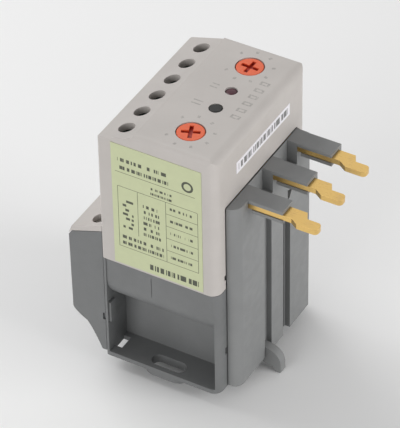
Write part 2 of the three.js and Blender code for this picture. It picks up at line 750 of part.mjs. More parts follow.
const mainBoardZ = [splitZ + 4.4, frontBoardZ[0] - 3];
const mainBoardHalfW = yFar - 3.5;
place('main_board', box(mainBoardX, [-mainBoardHalfW, mainBoardHalfW], mainBoardZ), look.board());
place('board_header', box([mainBoardX[1] + 0.05, mainBoardX[1] + 2.6], [-8, 8],
  [mainBoardZ[1] - 4, frontBoardZ[0] - 0.05]), look.component());

const relayX = [mainBoardX[0] - 8.2, mainBoardX[0] - 0.1];
const relay = roundedRect(2, 17, mainBoardZ[0] + 0.4, mainBoardZ[0] + 14.4, 0.8);
place('output_relay', alongX(relay, ...relayX, 3), look.sticker());

// electrolytic can lying along X with its vent end at -X
const makeCapacitor = (rootX, y, z) => {
  const r = 4.4;
  const can = rodX(y, z, r, rootX - 8.6, rootX);
  const groove = cut(rodX(y, z, r + 1, rootX - 1.6, rootX - 1.1), rodX(y, z, r - 0.35, rootX - 3, rootX));
  return can.subtract(groove);
};
place('supply_capacitor', makeCapacitor(mainBoardX[0] - 0.1, -11, mainBoardZ[0] + 7.9), look.component());
place('controller_chip', box([mainBoardX[1] + 0.05, mainBoardX[1] + 1.5], [-4.5, 4.5],
  [mainBoardZ[0] + 5.4, mainBoardZ[0] + 14.4]), look.component());

// ---------- dials, lamp and reset button ----------

const trimmerTopZ = height - coverTopT - 1.2;
const dialNames = ['current', 'delay'];
dialYs.forEach((y, i) => {
  const x = xLoad + dialX;
  const name = dialNames[i];
  const topZ = height - 0.1;
  const stemR = 1.3;
  let dial = turned(x, y, [
    [0, trimmerTopZ - 1.6],
    [stemR, trimmerTopZ - 1.6],
    [stemR, topZ - dialH],
    [dialR, topZ - dialH],
    [dialR, topZ - 0.2],
    [dialR - 0.2, topZ],
    [0, topZ],
  ], 32);
  for (const turn of [dialSetting[i], dialSetting[i] + 90]) {
    const bar = new THREE.BoxGeometry(dialR * 1.34, crossW, crossDepth * 2);
    bar.rotateZ(THREE.MathUtils.degToRad(turn));
    bar.translate(x, y, topZ);
    dial = dial.subtract(toSolid(bar));
  }
  place(`${name}_dial`, dial, look.dial());
  place(`${name}_trimmer`, cut(
    box([x - 3.3, x + 3.3], [y - 3.3, y + 3.3], [boardTopZ + 0.05, trimmerTopZ]),
    rodZ(x, y, stemR + slip, trimmerTopZ - 2, trimmerTopZ + 1, 20),
  ), look.component());
});

const lampTopZ = height - 0.15;
place('status_lamp', turned(xLoad + lampX, lampSpan / 2, [
  [0, boardTopZ + 0.05],
  [lampR + 0.35, boardTopZ + 0.05],
  [lampR + 0.35, boardTopZ + 1],
  [lampR, boardTopZ + 1],
  [lampR, lampTopZ - 0.35],
  [lampR * 0.86, lampTopZ - 0.14],
  [lampR * 0.5, lampTopZ - 0.03],
  [0, lampTopZ],
], 24), look.lens());

const switchTopZ = boardTopZ + 2.4;
const buttonX = xLoad + lampX;
const buttonY = -lampSpan / 2;
const stemR = 0.7;
const buttonFootZ = height - coverTopT - 1.4;
place('reset_button', turned(buttonX, buttonY, [
  [0, switchTopZ + buttonTravel + 0.05],
  [stemR, switchTopZ + buttonTravel + 0.05],
  [stemR, buttonFootZ],
  [buttonR + 0.8, buttonFootZ],
  [buttonR + 0.8, height - coverTopT - 0.15],
  [buttonR, height - coverTopT - 0.15],
  [buttonR, height - 0.15],
  [buttonR - 0.2, height + 0.05],
  [0, height + 0.05],
], 24), look.button());

place('reset_switch', joined(
  box([buttonX - 3, buttonX + 3], [buttonY - 3, buttonY + 3], [boardTopZ + 0.05, boardTopZ + 1.4]),
  rodZ(buttonX, buttonY, 0.9, boardTopZ + 1, switchTopZ, 16),
), look.component());

// coil spring between the switch and the button's collar
class Helix extends THREE.Curve {
  constructor(radius, turns, z0, z1) {
    super();
    Object.assign(this, { radius, turns, z0, z1 });
  }

  getPoint(t, target = new THREE.Vector3()) {
    const angle = t * this.turns * Math.PI * 2;
    return target.set(this.radius * Math.cos(angle), this.radius * Math.sin(angle),
      this.z0 + (this.z1 - this.z0) * t);
  }
}

const makeSpring = () => {
  const wireR = 0.16;
  const wire = new THREE.Shape();
  wire.absarc(0, 0, wireR, 0, Math.PI * 2, false);
  const helix = new Helix(1.75, 3, boardTopZ + 1.4 + wireR + 0.05, buttonFootZ - wireR - 0.05);
  const geometry = new THREE.ExtrudeGeometry(wire, {
    steps: 42, extrudePath: helix, curveSegments: 3, bevelEnabled: false,
  });
  geometry.translate(buttonX, buttonY, 0);
  return toSolid(geometry);
};
place('reset_spring', makeSpring(), look.steel());

// ---------- labels ----------

place('rating_label', box([xLoad + labelInset, xPin - labelInset], [yNear - labelT, yNear],
  [splitZ + 0.6, deckLowZ]), look.label());
place('side_label', box([xPin, xPin + labelT], stripY,
  [height - stripDrop - stripW, height - stripDrop]), look.sticker());

export default model;
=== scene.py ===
"""Looks for a plug-on electronic motor overload relay.

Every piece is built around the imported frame. Sizes are in metres, and MM turns
millimetres into metres.
"""

import math

import bmesh
import bpy
from bpy.props import FloatProperty, FloatVectorProperty, PointerProperty
from mathutils import Euler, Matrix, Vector


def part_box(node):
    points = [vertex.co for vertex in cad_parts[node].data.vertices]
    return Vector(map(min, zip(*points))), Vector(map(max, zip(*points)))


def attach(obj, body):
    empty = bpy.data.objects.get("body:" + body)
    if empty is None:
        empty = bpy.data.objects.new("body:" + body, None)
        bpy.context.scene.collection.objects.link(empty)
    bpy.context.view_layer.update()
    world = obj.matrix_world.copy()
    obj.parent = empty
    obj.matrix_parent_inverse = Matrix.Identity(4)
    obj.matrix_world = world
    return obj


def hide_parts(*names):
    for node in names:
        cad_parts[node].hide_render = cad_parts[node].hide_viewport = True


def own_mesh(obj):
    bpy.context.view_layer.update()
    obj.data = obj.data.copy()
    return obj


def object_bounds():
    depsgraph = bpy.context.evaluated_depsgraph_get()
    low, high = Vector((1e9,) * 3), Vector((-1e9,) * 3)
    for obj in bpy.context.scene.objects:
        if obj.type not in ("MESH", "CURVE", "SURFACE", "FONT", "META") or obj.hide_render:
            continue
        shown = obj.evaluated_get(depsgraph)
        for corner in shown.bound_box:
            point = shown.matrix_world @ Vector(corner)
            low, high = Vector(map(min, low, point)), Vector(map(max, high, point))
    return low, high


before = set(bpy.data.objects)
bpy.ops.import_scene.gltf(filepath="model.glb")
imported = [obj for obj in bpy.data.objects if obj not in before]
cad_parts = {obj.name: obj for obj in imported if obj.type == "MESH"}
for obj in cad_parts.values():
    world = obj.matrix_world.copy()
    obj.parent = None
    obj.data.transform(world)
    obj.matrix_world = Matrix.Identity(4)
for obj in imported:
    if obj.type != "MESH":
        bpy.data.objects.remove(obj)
cad_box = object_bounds()

bl_info = {
    "name": "Overload Relay",
    "version": (1, 0, 0),
    "blender": (4, 5, 0),
    "location": "View3D > Sidebar > Overload Relay",
    "description": "Builds the finished pieces of a plug-on motor overload relay",
    "category": "Object",
}

MM = 0.001
HOUSING = "housing"
POLES = (1, 2, 3)
OUTER_POLES = (1, 3)
CONTROLS = range(1, 7)
DECK_SCREWS = (1, 2)

# edges that meet at more than this are rounded and shaded as corners
SHARP_ANGLE = math.radians(32.0)

# rounding of the small pieces' edges
EDGE = {
    "board": 0.08 * MM,
    "capacitor": 0.15 * MM,
    "case": 0.12 * MM,
    "clamp": 0.1 * MM,
    "coil": 0.3 * MM,
    "contact": 0.12 * MM,
    "core": 0.1 * MM,
    "dial": 0.12 * MM,
    "lens": 0.05 * MM,
    "moulding": 0.1 * MM,
    "screw": 0.08 * MM,
}

# moulded grain: the noise's frequency per mm, and its depth in mm
GRAIN_PER_MM = 7.0
GRAIN_DEPTH = 0.012

# printed marks on the operator face, in mm
SCALE_RING = (5.4, 6.3)
SCALE_STEPS = 9
SCALE_FOOT = -4.8
LAMP_STROKES = (-5.6, -3.6)
BUTTON_STROKES = (-6.4, -3.8)
STROKE_OFFSET = (0.45, 0.85)
CAPTION_OFFSET = 6.6
CAPTION_REACH = (-6.0, 12.0)
CAPTION_PITCH = 2.9

CAMERA_PLACE = Vector((298.983, -510.228, 531.906)) * MM
CAMERA_TURN = Euler([math.radians(turn) for turn in (50.01169, 0.86322, 29.75906)])
CAMERA_LENS = 262.373


# ---------- node recipes ----------


class Recipe:
    """A material under construction, with short words for the nodes it uses."""

    def __init__(self, name):
        self.material = bpy.data.materials.new(name)
        self.material.use_nodes = True
        self.tree = self.material.node_tree
        self.shader = self.tree.nodes["Principled BSDF"]
        self._place = None

    def node(self, kind, **settings):
        made = self.tree.nodes.new(kind)
        for key, value in settings.items():
            setattr(made, key, value)
        return made

    def link(self, source, target):
        self.tree.links.new(source, target)

    def feed(self, socket, value):
        """Puts a number, a colour or another node's output on a socket."""
        if isinstance(value, bpy.types.NodeSocket):
            self.link(value, socket)
        else:
            socket.default_value = value

    def place(self):
        """The point on the piece, in millimetres."""
        if self._place is None:
            where = self.node("ShaderNodeTexCoord")
            scale = self.node("ShaderNodeVectorMath", operation="SCALE")
            self.link(where.outputs["Object"], scale.inputs[0])
            scale.inputs["Scale"].default_value = 1 / MM
            self._place = scale.outputs[0]
        return self._place

    def axes(self):
        parts = self.node("ShaderNodeSeparateXYZ")
        self.link(self.place(), parts.inputs[0])
        return parts.outputs[0], parts.outputs[1], parts.outputs[2]

    def stretched(self, factors):
        scale = self.node("ShaderNodeVectorMath", operation="MULTIPLY")
        self.link(self.place(), scale.inputs[0])
        scale.inputs[1].default_value = factors
        return scale.outputs[0]

    def noise(self, per_mm, detail=3.0, roughness=0.5, at=None):
        made = self.node("ShaderNodeTexNoise")
        self.link(at or self.place(), made.inputs["Vector"])
        made.inputs["Scale"].default_value = per_mm
        made.inputs["Detail"].default_value = detail
        made.inputs["Roughness"].default_value = roughness
        return made.outputs["Fac"]

    def math(self, operation, first, second=0.0):
        made = self.node("ShaderNodeMath", operation=operation)
        self.feed(made.inputs[0], first)
        self.feed(made.inputs[1], second)
        return made.outputs[0]

    def inverse(self, mask):
        return self.math("SUBTRACT", 1.0, mask)

    def spread(self, value, low, high, to_low=0.0, to_high=1.0):
        made = self.node("ShaderNodeMapRange")
        made.interpolation_type = "SMOOTHSTEP"
        self.feed(made.inputs["Value"], value)
        made.inputs["From Min"].default_value = low
        made.inputs["From Max"].default_value = high
        made.inputs["To Min"].default_value = to_low
        made.inputs["To Max"].default_value = to_high
        return made.outputs["Result"]

    def mix(self, amount, first, second):
        made = self.node("ShaderNodeMix", data_type="RGBA")
        self.feed(made.inputs["Factor"], amount)
        self.feed(made.inputs["A"], first)
        self.feed(made.inputs["B"], second)
        return made.outputs["Result"]

    def band(self, value, low, high, soft=0.04):
        """1 between low and high, with soft edges."""
        rise = self.spread(value, low - soft, low + soft)
        fall = self.spread(value, high - soft, high + soft)
        return self.math("SUBTRACT", rise, fall)

    def length(self, first, second):
        squares = [self.math("MULTIPLY", side, side) for side in (first, second)]
        return self.math("SQRT", self.math("ADD", *squares))

    def both(self, *masks):
        total = masks[0]
        for mask in masks[1:]:
            total = self.math("MULTIPLY", total, mask)
        return total

    def either(self, *masks):
        total = masks[0]
        for mask in masks[1:]:
            total = self.math("MAXIMUM", total, mask)
        return total

    def bump(self, height, depth_mm, strength=1.0):
        made = self.node("ShaderNodeBump")
        self.link(height, made.inputs["Height"])
        made.inputs["Distance"].default_value = depth_mm * MM
        made.inputs["Strength"].default_value = strength
        self.link(made.outputs["Normal"], self.shader.inputs["Normal"])

    def paint(self, colour, rough, metal=0.0):
        self.feed(self.shader.inputs["Base Color"], colour)
        self.feed(self.shader.inputs["Roughness"], rough)
        self.shader.inputs["Metallic"].default_value = metal


def shade(colour, factor):
    """A colour made lighter or darker, kept within range."""
    return tuple(min(1.0, max(0.0, c * factor)) for c in colour[:3]) + (1.0,)


def solid_colour(colour):
    return tuple(colour[:3]) + (1.0,)


# ---------- moulded plastics ----------


def moulded_body(recipe, colour, variation):
    """Spark-eroded moulding: soft clouding and fine dark specks."""
    cloud = recipe.noise(0.07, 4.0, 0.6)
    base = recipe.mix(
        recipe.spread(cloud, 0.3, 0.7),
        shade(colour, 1.0 - variation),
        shade(colour, 1.0 + variation),
    )
    speck = recipe.spread(recipe.noise(GRAIN_PER_MM * 0.45, 2.0), 0.62, 0.78, 0.0, 0.35)
    return recipe.mix(speck, base, shade(colour, 1.0 - 2.6 * variation))


def moulded_grain(recipe, broad_per_mm, broad_share, strength):
    """Fine grain over a broader unevenness."""
    fine = recipe.noise(GRAIN_PER_MM, 2.0, 0.6)
    broad = recipe.math("MULTIPLY", recipe.noise(broad_per_mm, 2.0), broad_share)
    recipe.bump(recipe.math("ADD", fine, broad), GRAIN_DEPTH, strength)


def moulded(name, colour, rough, variation):
    """Plain moulding in one colour."""
    recipe = Recipe(name)
    base = moulded_body(recipe, colour, variation)
    patch = recipe.noise(0.35, 3.0)
    recipe.paint(base, recipe.spread(patch, 0.3, 0.7, rough - 0.06, rough + 0.07))
    moulded_grain(recipe, 1.1, 0.35, 0.55)
    return recipe.material


def cover_plastic(settings, dials, lamp, button):
    """The cover's grey, with its printed dial scales and marks on the operator face."""
    recipe = Recipe("cover_plastic")
    base = moulded_body(recipe, settings.colour, 0.03)
    x, y, z = recipe.axes()
    level = settings.face_level / MM
    face = recipe.spread(z, level - 0.25, level - 0.1)
    marks = [dial_scale(recipe, x, y, centre) for centre in dials]
    marks.append(line_marks(recipe, x, y, lamp, LAMP_STROKES))
    marks.append(line_marks(recipe, x, y, button, BUTTON_STROKES))
    marks.append(caption_marks(recipe, x, y, dials[0][0] + CAPTION_OFFSET))
    print_mask = recipe.both(face, recipe.either(*marks))
    worn = recipe.spread(recipe.noise(2.2, 3.0), 0.3, 0.6, 0.12, 0.5)
    ink = recipe.both(print_mask, worn)
    patch = recipe.noise(0.4, 3.0)
    rough = settings.roughness
    recipe.paint(
        recipe.mix(ink, base, solid_colour(settings.ink)),
        recipe.spread(patch, 0.3, 0.7, rough - 0.05, rough + 0.07),
    )
    moulded_grain(recipe, 0.9, 0.4, 0.5)
    return recipe.material


def dial_scale(recipe, x, y, centre):
    """Short marks round a dial, left out at the foot of its scale."""
    dx = recipe.math("SUBTRACT", x, centre[0])
    dy = recipe.math("SUBTRACT", y, centre[1])
    turn = recipe.math("DIVIDE", recipe.math("ARCTAN2", dy, dx), math.tau)
    part = recipe.math("FRACT", recipe.math("MULTIPLY", turn, float(SCALE_STEPS)))
    off = recipe.math("ABSOLUTE", recipe.math("SUBTRACT", part, 0.5))
    dash = recipe.inverse(recipe.spread(off, 0.07, 0.1))
    ring = recipe.band(recipe.length(dx, dy), *SCALE_RING, 0.06)
    return recipe.both(dash, ring, recipe.spread(dx, SCALE_FOOT - 0.1, SCALE_FOOT + 0.1))


def line_marks(recipe, x, y, centre, reach):
    """Two short strokes beside the lamp or the button."""
    dx = recipe.math("SUBTRACT", x, centre[0])
    dy = recipe.math("ABSOLUTE", recipe.math("SUBTRACT", y, centre[1]))
    return recipe.both(recipe.band(dx, *reach), recipe.band(dy, *STROKE_OFFSET))


def caption_marks(recipe, x, y, row_x):
    """A printed row of plain blocks along the pin side of the face."""
    row = recipe.band(x, row_x - 1.25, row_x + 1.25, 0.06)
    part = recipe.math("FRACT", recipe.math("DIVIDE", y, CAPTION_PITCH))
    block = recipe.band(part, 0.18, 0.66, 0.02)
    middle = recipe.both(
        recipe.band(x, row_x - 0.7, row_x + 0.7),
        recipe.band(part, 0.3, 0.54, 0.02),
    )
    return recipe.both(row, block, recipe.inverse(middle), recipe.band(y, *CAPTION_REACH))


def dial_plastic(settings, top_level):
    """Orange dial with painted shade: its cross slot and rim fall to a deep red."""
    recipe = Recipe("dial_orange")
    _, _, z = recipe.axes()
    cloud = recipe.noise(0.5, 3.0)
    lit = recipe.mix(cloud, shade(settings.colour, 0.9), shade(settings.colour, 1.12))
    # painted shade: below the dial's top face the orange fades to the dark slot red
    depth = recipe.spread(z, top_level - 0.55, top_level - 0.12)
    recipe.paint(
        recipe.mix(depth, solid_colour(settings.slot_shade_colour), lit),
        recipe.spread(recipe.noise(1.4, 3.0), 0.3, 0.7, 0.3, 0.42),
    )
    recipe.shader.inputs["Coat Weight"].default_value = 0.05
    recipe.shader.inputs["Subsurface Weight"].default_value = 0.08
    recipe.shader.inputs["Subsurface Scale"].default_value = 0.6 * MM
    recipe.bump(recipe.noise(5.0, 2.0), 0.008, 0.4)
    return recipe.material


def lamp_lens(settings):
    """Dark tinted lens with a slight haze."""
    recipe = Recipe("lamp_lens")
    haze = recipe.noise(1.2, 3.0)
    recipe.paint(
        recipe.mix(haze, shade(settings.colour, 0.7), shade(settings.colour, 1.5)),
        recipe.spread(haze, 0.3, 0.7, 0.1, 0.2),
    )
    recipe.shader.inputs["Coat Weight"].default_value = 0.12
    recipe.bump(recipe.noise(3.0, 1.0), 0.01, 0.3)
    return recipe.material


# ---------- printed film ----------


def stroke_rows(recipe, along, across, first, pitch, count, thickness, frequency):
    """Rows of short irregular strokes that stand in for small print."""
    shifted = recipe.math("DIVIDE", recipe.math("SUBTRACT", across, first), pitch)
    part = recipe.math("FRACT", shifted)
    rows = recipe.band(part, 0.0, thickness / pitch, 0.05)
    inside = recipe.band(shifted, -0.02, count - 0.05, 0.01)
    lines = recipe.math("FLOOR", shifted)
    spot = recipe.node("ShaderNodeCombineXYZ")
    recipe.link(recipe.math("MULTIPLY", along, frequency), spot.inputs[0])
    recipe.link(recipe.math("MULTIPLY", lines, 7.3), spot.inputs[1])
    broken = recipe.noise(1.0, 1.0, 0.5, spot.outputs[0])
    return recipe.both(rows, inside, recipe.spread(broken, 0.47, 0.5))


def film_print(recipe, x, z):
    """A plain data table: rules, a frame with three columns and rows of strokes."""
    masks = []

    def patch(x0, x1, z0, z1, soft=0.03):
        return recipe.both(recipe.band(x, x0, x1, soft), recipe.band(z, z0, z1, soft))

    rule = 0.13
    title_rule = 61.6
    left, right = -10.9, 11.2
    low, high = 38.4, 57.2
    first_column, second_column = -5.4, 2.4
    notes_top = 43.4
    masks.append(patch(-11.4, 10.6, title_rule, title_rule + rule))
    for edge, foot in (
        (left, low),
        (first_column, notes_top),
        (second_column, low),
        (right, low),
    ):
        masks.append(patch(edge, edge + rule, foot, high))
    for level in (low, high):
        masks.append(patch(left, right, level, level + rule))
    for level in (42.2, 46.0, 49.8, 53.6):
        masks.append(patch(second_column, right, level, level + rule))
    ring_x, ring_z = 8.6, 64.2
    ring = recipe.length(
        recipe.math("SUBTRACT", x, ring_x),
        recipe.math("SUBTRACT", z, ring_z),
    )
    masks.append(recipe.band(ring, 1.0, 1.6))
    strokes = (
        # x0, x1, lowest row, pitch, rows, height, stroke frequency
        (-10.6, 3.4, 62.6, 2.4, 2, 1.1, 1.5),
        (-1.8, 4.2, 57.9, 1.5, 2, 0.7, 2.4),
        (-9.6, -6.6, 44.6, 1.35, 7, 0.75, 0.5),
        (-3.9, 0.9, 44.2, 1.75, 6, 0.95, 1.9),
        (3.6, 9.8, 39.9, 3.8, 5, 0.8, 2.0),
        (-9.9, 1.6, 39.3, 1.9, 2, 1.0, 1.8),
        (-2.6, 11.4, 34.0, 2.2, 1, 1.7, 1.3),
    )
    for x0, x1, first, pitch, count, height, frequency in strokes:
        rows = stroke_rows(recipe, x, z, first, pitch, count, height, frequency)
        masks.append(recipe.both(rows, recipe.band(x, x0, x1)))
    return recipe.either(*masks)


def rating_film(settings):
    """Pale green film with its printed table."""
    recipe = Recipe("rating_film")
    x, _, z = recipe.axes()
    fibre = recipe.noise(0.5, 4.0, 0.6)
    film = settings.film_colour
    paper = recipe.mix(fibre, shade(film, 0.94), shade(film, 1.06))
    worn = recipe.spread(recipe.noise(5.0, 2.0), 0.2, 0.5, 0.7, 0.95)
    ink = recipe.both(film_print(recipe, x, z), worn)
    recipe.paint(
        recipe.mix(ink, paper, solid_colour(settings.ink_colour)),
        recipe.spread(fibre, 0.3, 0.7, 0.38, 0.5),
    )
    recipe.bump(recipe.noise(1.6, 3.0), 0.01, 0.35)
    return recipe.material


def strip_paper(settings, low, high):
    """White strip with one row of strokes between its edges."""
    recipe = Recipe("strip_paper")
    _, y, z = recipe.axes()
    fibre = recipe.noise(1.1, 4.0, 0.6)
    strip = settings.strip_colour
    paper = recipe.mix(fibre, shade(strip, 0.95), shade(strip, 1.03))
    middle = (low[2] + high[2]) / 2
    tall = 1.9
    rows = stroke_rows(recipe, y, z, middle - tall / 2, 2.0, 1, tall, 1.15)
    ends = recipe.band(y, low[1] + 1.0, high[1] - 1.0)
    recipe.paint(
        recipe.mix(recipe.both(rows, ends, 0.8), paper, solid_colour(settings.ink_colour)),
        recipe.spread(fibre, 0.3, 0.7, 0.45, 0.6),
    )
    recipe.bump(recipe.noise(2.5, 3.0), 0.01, 0.3)
    return recipe.material


# ---------- metals ----------


def rolled_brass(settings, name):
    """Rolled strip with fine lines along its length and faint tarnish."""
    recipe = Recipe(name)
    lines = recipe.noise(1.0, 4.0, 0.65, recipe.stretched((0.25, 7.0, 7.0)))
    stain = recipe.noise(0.22, 4.0, 0.6)
    clean = recipe.mix(lines, shade(settings.colour, 0.96), shade(settings.colour, 1.04))
    dull = recipe.spread(stain, 0.5, 0.8, 0.0, 0.55)
    rough = settings.roughness
    recipe.paint(
        recipe.mix(dull, clean, solid_colour(settings.tarnish)),
        recipe.spread(lines, 0.25, 0.75, rough - 0.04, rough + 0.06),
        1.0,
    )
    recipe.bump(lines, 0.004, 0.5)
    return recipe.material


def plated_steel(settings, name, lines_along=(5.0, 5.0, 0.6)):
    """Zinc plating with a faint mottled bloom and turning lines."""
    recipe = Recipe(name)
    bloom = recipe.noise(0.9, 4.0, 0.6)
    lines = recipe.noise(1.2, 3.0, 0.6, recipe.stretched(lines_along))
    base = recipe.mix(bloom, shade(settings.colour, 0.82), shade(settings.colour, 1.08))
    dull = recipe.spread(bloom, 0.55, 0.8, 0.0, 0.4)
    rough = settings.roughness
    recipe.paint(
        recipe.mix(dull, base, shade(settings.colour, 0.6)),
        recipe.spread(lines, 0.25, 0.75, rough - 0.06, rough + 0.12),
        1.0,
    )
    recipe.bump(lines, 0.006, 0.5)
    return recipe.material


def laminated_iron():
    """Stack of varnished sheets, seen as lines across the core."""
    recipe = Recipe("laminated_iron")
    x, _, _ = recipe.axes()
    sheets_per_mm = 2.0
    sheet = recipe.math("FRACT", recipe.math("MULTIPLY", x, sheets_per_mm))
    joint = recipe.inverse(recipe.band(sheet, 0.08, 0.92, 0.05))
    varnish = recipe.noise(0.8, 3.0)
    base = recipe.mix(varnish, (0.055, 0.056, 0.06, 1), (0.1, 0.1, 0.105, 1))
    recipe.paint(
        recipe.mix(recipe.both(joint, 0.8), base, (0.012, 0.012, 0.012, 1)),
        recipe.spread(varnish, 0.3, 0.7, 0.38, 0.55),
        0.6,
    )
    recipe.bump(recipe.inverse(joint), 0.05, 0.6)
    return recipe.material


def wound_copper():
    """Fine enamelled wire laid turn beside turn round the core's top leg, with painted shade in
    the grooves between turns.
    """
    recipe = Recipe("wound_copper")
    _, y, _ = recipe.axes()
    turns_per_mm = 5.0
    turn = recipe.math("FRACT", recipe.math("MULTIPLY", y, turns_per_mm))
    crown = recipe.math("SINE", recipe.math("MULTIPLY", turn, math.pi))
    lacquer = recipe.noise(1.5, 3.0)
    wire = recipe.mix(lacquer, (0.3, 0.09, 0.025, 1), (0.5, 0.18, 0.05, 1))
    recipe.paint(
        # painted shade: the grooves between turns go near black
        recipe.mix(recipe.spread(crown, 0.0, 0.5), (0.05, 0.012, 0.004, 1), wire),
        recipe.spread(lacquer, 0.3, 0.7, 0.25, 0.4),
        0.75,
    )
    recipe.bump(crown, 0.08, 0.8)
    return recipe.material


# ---------- electronics ----------


def circuit_board(name, axis_u, axis_v):
    """Green solder mask over tracks, with rows of tinned pads."""
    recipe = Recipe(name)
    axes = recipe.axes()
    u, v = axes[axis_u], axes[axis_v]
    weave = recipe.noise(2.0, 3.0)
    mask = recipe.mix(weave, (0.01, 0.09, 0.035, 1), (0.02, 0.16, 0.06, 1))
    track_pitch, pad_pitch = 1.27, 2.54
    lane = recipe.math("FRACT", recipe.math("DIVIDE", u, track_pitch))
    broken = recipe.spread(recipe.noise(0.22, 1.0), 0.48, 0.5)
    track = recipe.both(recipe.band(lane, 0.35, 0.65, 0.04), broken)
    cell = [recipe.math("FRACT", recipe.math("DIVIDE", side, pad_pitch)) for side in (u, v)]
    reach = recipe.length(*[recipe.math("SUBTRACT", part, 0.5) for part in cell])
    pad = recipe.both(
        recipe.inverse(recipe.spread(reach, 0.2, 0.24)),
        recipe.spread(recipe.noise(0.16, 1.0), 0.52, 0.54),
    )
    traced = recipe.mix(recipe.both(track, 0.8), mask, (0.03, 0.26, 0.09, 1))
    recipe.paint(
        recipe.mix(pad, traced, (0.55, 0.55, 0.52, 1)),
        recipe.spread(weave, 0.3, 0.7, 0.25, 0.4),
    )
    recipe.bump(recipe.math("ADD", track, recipe.math("MULTIPLY", pad, 1.5)), 0.03, 0.6)
    return recipe.material


def capacitor_sleeve(low, high):
    """Dark shrink sleeve with a pale stripe and a bare aluminium vent end."""
    recipe = Recipe("capacitor_sleeve")
    x, y, _ = recipe.axes()
    cloud = recipe.noise(1.0, 3.0)
    sleeve = recipe.mix(cloud, (0.012, 0.012, 0.02, 1), (0.03, 0.03, 0.045, 1))
    stripe = recipe.spread(y, high[1] - 1.5, high[1] - 1.3)
    striped = recipe.mix(recipe.both(stripe, 0.85), sleeve, (0.4, 0.41, 0.44, 1))
    vent = recipe.inverse(recipe.spread(x, low[0] + 0.1, low[0] + 0.2))
    recipe.paint(
        recipe.mix(vent, striped, (0.6, 0.6, 0.6, 1)),
        recipe.spread(cloud, 0.3, 0.7, 0.25, 0.38),
    )
    recipe.bump(recipe.noise(2.0, 2.0), 0.01, 0.4)
    return recipe.material


# ---------- building finished pieces ----------


def fine_mesh(node, edge, segments):
    """A copy of a frame piece with clean flat faces and its hard edges rounded inward."""
    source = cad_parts[node]
    mesh = source.data.copy()
    mesh.materials.clear()
    work = bmesh.new()
    work.from_mesh(mesh)
    bmesh.ops.remove_doubles(work, verts=work.verts, dist=0.002 * MM)
    bmesh.ops.dissolve_limit(
        work,
        angle_limit=math.radians(0.6),
        verts=work.verts,
        edges=work.edges,
    )
    many_sided = [face for face in work.faces if len(face.verts) > 4]
    bmesh.ops.triangulate(work, faces=many_sided)
    for face in work.faces:
        face.smooth = True
    for link in work.edges:
        if len(link.link_faces) == 2:
            link.smooth = link.calc_face_angle() < SHARP_ANGLE
        else:
            link.smooth = False
    work.to_mesh(mesh)
    work.free()
    piece = bpy.data.objects.new(node + "_finish", mesh)
    bpy.context.scene.collection.objects.link(piece)
    if edge > 0:
        bevel = piece.modifiers.new("edges", "BEVEL")
        bevel.width = edge
        bevel.segments = segments
        bevel.limit_method = "ANGLE"
        bevel.angle_limit = SHARP_ANGLE
        bevel.use_clamp_overlap = True
        bevel.miter_outer = "MITER_ARC"
    even = piece.modifiers.new("even_normals", "WEIGHTED_NORMAL")
    even.mode = "FACE_AREA"
    even.keep_sharp = True
    return piece


def finish(node, body, material, edge=0.0, segments=2):
    """Stands a finished copy in for a frame piece, on the same body and material slot."""
    piece = fine_mesh(node, edge, segments)
    piece.data.materials.append(material)
    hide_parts(node)
    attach(piece, body)
    return piece


def centre_mm(node):
    low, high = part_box(node)
    return tuple((a + b) / 2 / MM for a, b in zip(low, high))


def box_mm(node):
    low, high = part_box(node)
    return tuple(c / MM for c in low), tuple(c / MM for c in high)


# ---------- settings ----------


class ShellSettings(bpy.types.PropertyGroup):
    colour: FloatVectorProperty(
        name="Colour",
        description="Light grey of the cover and the load deck",
        subtype="COLOR",
        default=(0.53, 0.497, 0.472),
        min=0,
        max=1,
    )
    ink: FloatVectorProperty(
        name="Print",
        description="Colour of the printed marks on the operator face",
        subtype="COLOR",
        default=(0.17, 0.165, 0.15),
        min=0,
        max=1,
    )
    roughness: FloatProperty(
        name="Roughness",
        description="Surface roughness",
        subtype="FACTOR",
        default=0.5,
        min=0,
        max=1,
    )
    edge: FloatProperty(
        name="Edge radius",
        description="Rounding of the moulded edges",
        unit="LENGTH",
        precision=5,
        default=0.28 * MM,
        min=0,
    )
    face_level: FloatProperty(
        name="Face level",
        description="Height of the operator face, which carries the print",
        unit="LENGTH",
        precision=5,
        default=74.0 * MM,
    )


class HousingSettings(bpy.types.PropertyGroup):
    colour: FloatVectorProperty(
        name="Colour",
        description="Dark grey of the base and the terminal block",
        subtype="COLOR",
        default=(0.166, 0.17, 0.171),
        min=0,
        max=1,
    )
    plug_colour: FloatVectorProperty(
        name="Plug colour",
        description="Slightly lighter grey of the plug block",
        subtype="COLOR",
        default=(0.228, 0.232, 0.232),
        min=0,
        max=1,
    )
    edge: FloatProperty(
        name="Edge radius",
        description="Rounding of the moulded edges",
        unit="LENGTH",
        precision=5,
        default=0.2 * MM,
        min=0,
    )


class PrintSettings(bpy.types.PropertyGroup):
    film_colour: FloatVectorProperty(
        name="Film",
        description="Rating film colour",
        subtype="COLOR",
        default=(0.56, 0.6, 0.37),
        min=0,
        max=1,
    )
    strip_colour: FloatVectorProperty(
        name="Strip",
        description="Paper strip colour",
        subtype="COLOR",
        default=(0.86, 0.84, 0.88),
        min=0,
        max=1,
    )
    ink_colour: FloatVectorProperty(
        name="Ink",
        description="Printing ink",
        subtype="COLOR",
        default=(0.035, 0.04, 0.03),
        min=0,
        max=1,
    )


